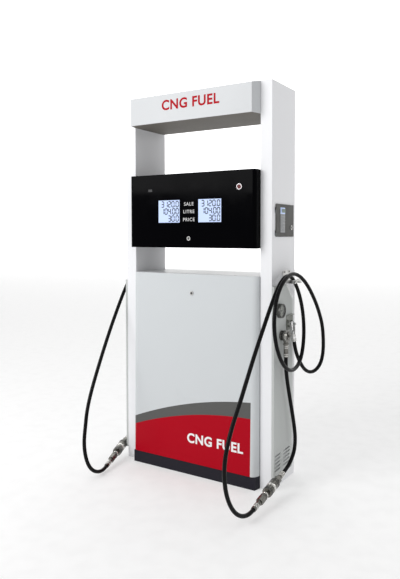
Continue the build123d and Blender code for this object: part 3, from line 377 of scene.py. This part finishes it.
# ---------------------------------------------------------------- hoses
HOSE_RADIUS = 0.0105
FIXED_END = 0.03  # stretch of a fill hose that moves wholly with its nozzle
FOLLOWING = 0.55  # stretch before it over which the movement fades out
SUPPLY_RIGHT = [
    (0.536, -0.059, 0.7145), (0.536, -0.059, 0.662), (0.538, -0.050, 0.600), (0.541, -0.032, 0.527),
    (0.545, -0.012, 0.450), (0.549, 0.009, 0.372), (0.552, 0.026, 0.300), (0.553, 0.034, 0.238),
    (0.552, 0.026, 0.178), (0.548, -0.012, 0.132), (0.545, -0.061, 0.1055), (0.545, -0.110, 0.097),
]
FILL_RIGHT = [
    (0.545, -0.455, 0.037), (0.545, -0.492, 0.0306), (0.535, -0.541, 0.037), (0.525, -0.584, 0.062),
    (0.514, -0.618, 0.105), (0.505, -0.643, 0.165), (0.500, -0.656, 0.235), (0.498, -0.655, 0.312),
    (0.499, -0.633, 0.392), (0.500, -0.585, 0.478), (0.503, -0.520, 0.566), (0.506, -0.452, 0.668),
    (0.511, -0.384, 0.776), (0.516, -0.303, 0.890), (0.522, -0.226, 1.000), (0.527, -0.158, 1.088),
    (0.529, -0.100, 1.136), (0.530, -0.035, 1.159), (0.531, 0.023, 1.148), (0.534, 0.072, 1.107),
    (0.538, 0.115, 1.047), (0.544, 0.144, 0.970), (0.552, 0.150, 0.885), (0.565, 0.122, 0.795),
    (0.579, 0.062, 0.710), (0.590, -0.025, 0.662), (0.593, -0.120, 0.656), (0.590, -0.205, 0.700),
    (0.583, -0.262, 0.780), (0.576, -0.287, 0.873), (0.571, -0.281, 0.965), (0.565, -0.245, 1.045),
    (0.559, -0.180, 1.110), (0.555, -0.095, 1.154), (0.555, -0.005, 1.172), (0.568, 0.072, 1.146),
    (0.582, 0.140, 1.090), (0.595, 0.205, 1.010), (0.604, 0.256, 0.930), (0.611, 0.290, 0.850),
    (0.613, 0.302, 0.770), (0.613, 0.302, 0.695), (0.608, 0.286, 0.637), (0.598, 0.258, 0.602),
    (0.584, 0.219, 0.585), (0.570, 0.178, 0.590), (0.557, 0.141, 0.615), (0.545, 0.105, 0.664),
    (0.534, 0.0738, 0.7282), (0.534, 0.0543, 0.786),
]
SUPPLY_LEFT = [
    (-0.536, -0.059, 0.7145), (-0.536, -0.059, 0.662), (-0.539, -0.045, 0.595), (-0.545, -0.018, 0.525),
    (-0.552, 0.012, 0.455), (-0.561, 0.040, 0.385), (-0.571, 0.062, 0.315), (-0.580, 0.074, 0.248),
    (-0.586, 0.070, 0.186), (-0.585, 0.038, 0.132), (-0.5778, -0.0135, 0.0996), (-0.564, -0.0585, 0.0905),
]
FILL_LEFT = [
    (-0.463, -0.387, 0.024), (-0.4523, -0.4217, 0.017), (-0.449, -0.468, 0.02), (-0.45, -0.514, 0.043),
    (-0.456, -0.545, 0.086), (-0.465, -0.559, 0.146), (-0.476, -0.556, 0.218), (-0.489, -0.53, 0.295),
    (-0.5, -0.505, 0.378), (-0.511, -0.46, 0.47), (-0.519, -0.405, 0.57), (-0.525, -0.344, 0.68),
    (-0.529, -0.28, 0.795), (-0.532, -0.214, 0.905), (-0.534, -0.155, 1.0), (-0.533, -0.104, 1.078),
    (-0.528, -0.06, 1.124), (-0.522, -0.007, 1.151), (-0.522, 0.055, 1.149), (-0.526, 0.113, 1.123),
    (-0.534, 0.163, 1.074), (-0.545, 0.197, 1.005), (-0.556, 0.212, 0.93), (-0.566, 0.211, 0.85),
    (-0.574, 0.194, 0.772), (-0.58, 0.15, 0.716), (-0.583, 0.089, 0.695), (-0.583, 0.028, 0.711),
    (-0.581, -0.016, 0.757), (-0.577, -0.037, 0.822), (-0.57, -0.042, 0.895), (-0.562, -0.05, 0.965),
    (-0.554, -0.058, 1.03), (-0.549, -0.058, 1.085), (-0.547, -0.036, 1.133), (-0.548, 0.008, 1.168),
    (-0.551, 0.065, 1.188), (-0.555, 0.132, 1.196), (-0.558, 0.2, 1.189), (-0.562, 0.266, 1.163),
    (-0.566, 0.325, 1.117), (-0.569, 0.37, 1.055), (-0.572, 0.396, 0.99), (-0.573, 0.404, 0.93),
    (-0.573, 0.4, 0.845), (-0.571, 0.378, 0.765), (-0.567, 0.34, 0.695), (-0.561, 0.296, 0.645),
    (-0.554, 0.242, 0.603), (-0.547, 0.185, 0.596), (-0.541, 0.134, 0.622), (-0.536, 0.097, 0.669),
    (-0.534, 0.0738, 0.7282), (-0.534, 0.0543, 0.786),
]


def hose_curve(name, route, bevel):
    """A smooth curve with the route's places as its control points."""
    curve = bpy.data.curves.new(name, "CURVE")
    curve.dimensions = "3D"
    spline = curve.splines.new("NURBS")
    spline.points.add(len(route) - 1)
    for point, place in zip(spline.points, route):
        point.co = (*place, 1)
    spline.order_u = 3
    spline.use_endpoint_u = True
    spline.resolution_u = 12
    curve.bevel_depth = bevel
    curve.bevel_resolution = 6
    curve.use_fill_caps = True
    return curve


def curve_mesh(curve):
    holder = bpy.data.objects.new("hose_source", curve)
    scene.collection.objects.link(holder)
    bpy.context.view_layer.update()
    mesh = bpy.data.meshes.new_from_object(holder.evaluated_get(bpy.context.evaluated_depsgraph_get()))
    bpy.data.objects.remove(holder)
    return mesh


def supply_hose(name, route):
    curve = hose_curve(name, route, HOSE_RADIUS)
    hose = bpy.data.objects.new(name, curve)
    curve.materials.append(SLOT_MATERIALS["hose_rubber"])
    scene.collection.objects.link(hose)
    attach(hose, "dispenser")
    return hose


def fill_hose(name, route, nozzle):
    """Fill hose whose last stretch follows the nozzle when it is pulled."""
    path = [tuple(v.co) for v in curve_mesh(hose_curve(name, route, 0)).vertices]
    mesh = curve_mesh(hose_curve(name, route, HOSE_RADIUS))
    hose = bpy.data.objects.new(name, mesh)
    scene.collection.objects.link(hose)
    mesh.materials.clear()
    mesh.materials.append(SLOT_MATERIALS["hose_rubber"])
    for face in mesh.polygons:
        face.use_smooth = True
    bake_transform(hose, "dispenser", nozzle, start=route[-5], end=route[-1])
    run = [0.0]
    for before, after in zip(path, path[1:]):
        run.append(run[-1] + (Vector(after) - Vector(before)).length)
    follow = mesh.attributes["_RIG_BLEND"]
    for vertex in mesh.vertices:
        nearest = min(range(len(path)), key=lambda i: (vertex.co - Vector(path[i])).length_squared)
        share = min(1, max(0, 1 - (run[-1] - run[nearest] - FIXED_END) / FOLLOWING))
        follow.data[vertex.index].value = share * share * (3 - 2 * share)
    return hose


hoses = {
    "supply_right": supply_hose("hose_supply_right_rubber", SUPPLY_RIGHT),
    "fill_right": fill_hose("hose_fill_right_rubber", FILL_RIGHT, "nozzle_right"),
    "supply_left": supply_hose("hose_supply_left_rubber", SUPPLY_LEFT),
    "fill_left": fill_hose("hose_fill_left_rubber", FILL_LEFT, "nozzle_left"),
}
for key, hose in hoses.items():
    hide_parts("hose_" + key)

# ---------------------------------------------------------------- lettering of the sign and the door
sign_text = front_at(0.013, -0.2152, 2.120)
DOOR_LEAN = math.atan2(0.021, 1.086)
door_text = front_at(0.160, -0.1932, 0.212) @ Matrix.Rotation(-DOOR_LEAN, 4, "X")
for name, body, ink, size, place in (
    ("sign_lettering", "dispenser", INK_RED, 0.078, sign_text),
    ("door_lettering", "front_door", INK_WHITE, 0.074, door_text),
):
    lettering("CNG FUEL", size, place, name, ink, body, spacing=1.08, bold=0.0022)

# ---------------------------------------------------------------- display windows
SEGMENTS = {
    "0": "abcdef", "1": "bc", "2": "abged", "3": "abgcd", "4": "fgbc",
    "5": "afgcd", "6": "afgedc", "7": "abc", "8": "abcdefg", "9": "abcdfg",
}
DIGIT_WIDTH, DIGIT_HEIGHT, STROKE = 0.0165, 0.0315, 0.0048
LCD_FRONT = -0.2040


def segment(shape, matrix, x, z, length, upright):
    """One stroke of a digit: a thin bar with pointed ends."""
    half, point = length / 2 - 0.0004, STROKE / 2
    tip = half - point
    outline = [(-half, 0), (-tip, point), (tip, point), (half, 0), (tip, -point), (-tip, -point)]
    if upright:
        outline = [(b, a) for a, b in outline]
    front = [shape.verts.new(matrix @ Vector((x + a, z + b, 0.0004))) for a, b in outline]
    face = shape.faces.new(front)
    solid = bmesh.ops.extrude_face_region(shape, geom=[face])
    moved = [v for v in solid["geom"] if isinstance(v, bmesh.types.BMVert)]
    bmesh.ops.translate(shape, verts=moved, vec=(matrix.to_3x3() @ Vector((0, 0, -0.0003))))


def digits(shape, number, right, z, matrix):
    """Seven-segment digits that end at right."""
    x = right
    for sign in reversed(number):
        if sign == ".":
            foot = z - DIGIT_HEIGHT / 2
            bar(shape, (x - 0.0017, foot, 0.0001), (x + 0.0017, foot + 0.0034, 0.0004), matrix)
            x -= 0.0052
            continue
        centre = x - DIGIT_WIDTH / 2
        half, quarter = DIGIT_HEIGHT / 2, DIGIT_HEIGHT / 4
        places = {
            "a": (centre, z + half, DIGIT_WIDTH, False),
            "g": (centre, z, DIGIT_WIDTH, False),
            "d": (centre, z - half, DIGIT_WIDTH, False),
            "f": (centre - DIGIT_WIDTH / 2, z + quarter, half, True),
            "b": (centre + DIGIT_WIDTH / 2, z + quarter, half, True),
            "e": (centre - DIGIT_WIDTH / 2, z - quarter, half, True),
            "c": (centre + DIGIT_WIDTH / 2, z - quarter, half, True),
        }
        for stroke in SEGMENTS[sign]:
            segment(shape, matrix, *places[stroke])
        x -= DIGIT_WIDTH + 0.0078


for side, name in SIDES:
    shape = bmesh.new()
    matrix = front_at(side * 0.138, LCD_FRONT, 1.515)
    digits(shape, "3120.0", 0.066, 0.041, matrix)
    digits(shape, "104.00", 0.066, 0.0, matrix)
    digits(shape, "30.0", 0.066, -0.041, matrix)
    bmesh.ops.recalc_face_normals(shape, faces=shape.faces)
    from_bmesh(shape, "indicator_digits_" + name, INK_DARK, "display_door")
for words, z in (("SALE", 1.554), ("LITRE", 1.511), ("PRICE", 1.466)):
    place = front_at(0, -0.2052, z)
    label = "label_" + words.lower()
    lettering(words, 0.027, place, label, INK_LABEL, "display_door", spacing=1.2, bold=0.0003)

# ---------------------------------------------------------------- gauges
for side, name in SIDES:
    face = side_at(side, PANEL_FACE, *GAUGE)
    dial = bmesh.new()
    disc(dial, 0.0335, 0.0006, face @ Matrix.Translation((0, 0, 0.0102)), 64)
    from_bmesh(dial, "gauge_dial_" + name, DIAL_WHITE, "dispenser")
    marks = bmesh.new()
    for n in range(31):
        turn = face @ Matrix.Rotation(math.radians(225 - 9 * n), 4, "Z")
        long = 0.0065 if n % 5 == 0 else 0.0035
        bar(marks, (0.0305 - long, -0.0003, 0.0108), (0.0305, 0.0003, 0.0110), turn)
    from_bmesh(marks, "gauge_marks_" + name, INK_DARK, "dispenser")
    for n, words in enumerate(("0", "50", "100", "150", "200", "250", "300")):
        angle = math.radians(225 - 45 * n)
        place = face @ Matrix.Translation((0.0195 * math.cos(angle), 0.0195 * math.sin(angle), 0.0109))
        lettering(words, 0.0065, place, f"gauge_number_{name}_{n}", INK_DARK, "dispenser", thick=0.00005)


# ---------------------------------------------------------------- collars of the fittings, and painted shade in their grooves
def collar(shape, radius, start, end, matrix, proud=0.0012):
    """A band round a fitting, from start to end along a matrix's Z."""
    place = matrix @ Matrix.Translation((0, 0, start))
    ring(shape, radius - 0.001, radius + proud, end - start, place, 40)


def along(start, end):
    """Matrix at start whose Z runs to end."""
    turn = (Vector(end) - Vector(start)).to_track_quat("Z", "Y").to_matrix().to_4x4()
    return Matrix.Translation(Vector(start)) @ turn


for side, name in SIDES:
    supply, fill = (SUPPLY_RIGHT, FILL_RIGHT) if side > 0 else (SUPPLY_LEFT, FILL_LEFT)
    line = along(supply[-1], fill[0])
    bright, dark = bmesh.new(), bmesh.new()
    for start in (0.004, 0.014, 0.024, 0.034, 0.310, 0.320, 0.330):
        collar(bright, 0.0134, start, start + 0.005, line)
    collar(bright, 0.020, 0.0915, 0.0965, line)
    # dark rings: painted shade where the fittings have grooves; they stand proud of the fitting, nothing is
    # cut
    for start in (0.102, 0.108, 0.114, 0.180, 0.186, 0.192):
        collar(dark, 0.026, start, start + 0.0025, line, 0.0006)
    collar(bright, 0.026, 0.140, 0.158, line, 0.0008)
    collar(bright, 0.015, 0.208, 0.222, line)
    collar(dark, 0.019, 0.2335, 0.2365, line, 0.0005)
    valve_down = along((side * VALVE_AXIS, *VALVE), (side * VALVE_AXIS, VALVE[0], 0.7))
    for start in (0.052, 0.062, 0.098, 0.107):
        collar(bright, 0.013, start, start + 0.005, valve_down)
    valve_out = side_at(side, PANEL_FACE, *VALVE)
    for n in range(24):
        turn = valve_out @ Matrix.Rotation(2 * math.pi * n / 24, 4, "Z")
        bar(bright, (0.0284, -0.0014, 0.024), (0.0298, 0.0014, 0.042), turn)
        # dark bars here and the dark ring below: painted shade in the grooves at the valve body's foot
        bar(dark, (0.0266, -0.0012, 0.002), (0.0276, 0.0012, 0.010), turn)
    collar(dark, 0.029, 0.0195, 0.0215, valve_out, 0.0006)
    from_bmesh(bright, "fitting_collars_" + name, COLLAR_BRIGHT, "dispenser", True)
    # the painted groove shade, as one dark mesh
    from_bmesh(dark, "fitting_groove_shade_" + name, SCREW_DARK, "dispenser")
    nozzle = bmesh.new()
    top = Vector((side * NOZZLE_AXIS, *NOZZLE_TOP))
    nozzle_line = along(top, top + Vector((0, math.sin(NOZZLE_LEAN), -math.cos(NOZZLE_LEAN))))
    for start in (0.060, 0.069, 0.090, 0.098):
        collar(nozzle, 0.013, start, start + 0.005, nozzle_line)
    collar(nozzle, 0.014, 0.004, 0.007, nozzle_line, 0.0008)
    from_bmesh(nozzle, "nozzle_crimps_" + name, COLLAR_BRIGHT, "nozzle_" + name, True)

# ---------------------------------------------------------------- keyholes and screw heads
holes = (
    ("display", "display_lock", front_at(0, -0.2083, 1.360)),
    ("front_door", "front_door_lock", front_at(0, -0.17953, 1.047)),
    ("hatch", "hatch_lock", side_at(1, 0.5029, 0.085, 1.421)),
)
for name, body, place in holes:
    shape = bmesh.new()
    disc(shape, 0.0075, 0.0004, place, 32)
    from_bmesh(shape, "keyhole_plate_" + name, SCREW_DARK, body)
    shape = bmesh.new()
    ring(shape, 0.0085, 0.0115, 0.0006, place, 40)
    from_bmesh(shape, "keyhole_ring_" + name, COLLAR_BRIGHT, body)
for side, name in SIDES:
    shape = bmesh.new()
    for y in (0.003, 0.063):
        place = side_at(side, 0.501, y, 1.175)
        disc(shape, 0.0042, 0.0006, place, 24)
        for turn in (0, 90):
            cross = place @ Matrix.Rotation(math.radians(45 + turn), 4, "Z")
            bar(shape, (-0.0032, -0.0005, 0.0005), (0.0032, 0.0005, 0.0008), cross)
    from_bmesh(shape, "hook_screw_heads_" + name, SCREW_DARK, "dispenser")

# ---------------------------------------------------------------- keypad of the operator's hatch
KEYS = ("1", "2", "3", "4", "5", "6", "7", "8", "9", "C", "0", "E", "", "", "")
for n, words in enumerate(KEYS):
    row, column = divmod(n, 3)
    place = side_at(1, KEYPAD_FACE, -0.0265 + (column - 1) * 0.017, 1.4435 + (2 - row) * 0.018)
    if words:
        lettering(words, 0.0085, place, f"key_{n}", INK_WHITE, "operator_hatch", thick=0.0001)
screen = bmesh.new()
bar(screen, (-0.022, -0.010, 0.0), (0.022, 0.010, 0.0004), side_at(1, 0.5051, -0.0265, 1.512))
from_bmesh(screen, "operator_screen_field", SCREEN_GREEN, "operator_hatch")

# ---------------------------------------------------------------- floor, light and background
floor_mesh = bpy.data.meshes.new("floor")
ground = bmesh.new()
bmesh.ops.create_grid(ground, x_segments=1, y_segments=1, size=40)
ground.to_mesh(floor_mesh)
ground.free()
floor = bpy.data.objects.new("floor", floor_mesh)
scene.collection.objects.link(floor)
floor_mesh.materials.append(glowing("floor_pale", (0.62, 0.62, 0.62), 0.62, 0.9))

world = bpy.data.worlds.new("studio")
world.use_nodes = True
world.node_tree.nodes["Background"].inputs["Color"].default_value = (1, 1, 1, 1)
world.node_tree.nodes["Background"].inputs["Strength"].default_value = 0.56
scene.world = world


def lamp(name, place, target, size, power):
    data = bpy.data.lights.new(name, "AREA")
    data.shape = "RECTANGLE"
    data.size, data.size_y = size
    data.energy = power
    light = bpy.data.objects.new(name, data)
    light.location = place
    light.rotation_euler = (Vector(target) - Vector(place)).to_track_quat("-Z", "Y").to_euler()
    scene.collection.objects.link(light)


backdrop_mesh = bpy.data.meshes.new("backdrop")
wall = bmesh.new()
behind = facing((-8, 18, 10), (1, 0.3, 0), (0, 0, 1))
bmesh.ops.create_grid(wall, x_segments=1, y_segments=1, size=20, matrix=behind)
wall.to_mesh(backdrop_mesh)
wall.free()
backdrop = bpy.data.objects.new("backdrop", backdrop_mesh)
scene.collection.objects.link(backdrop)
backdrop_mesh.materials.append(glowing("backdrop_white", (1.0, 1.0, 1.0), 1.0, 0.9))

lamp("key", (-2.6, -4.6, 3.4), (0, 0, 1.1), (3.0, 3.0), 165)
lamp("side", (4.5, -1.0, 2.6), (0.3, 0, 1.0), (2.0, 3.0), 8)
scene.view_settings.view_transform = "Standard"
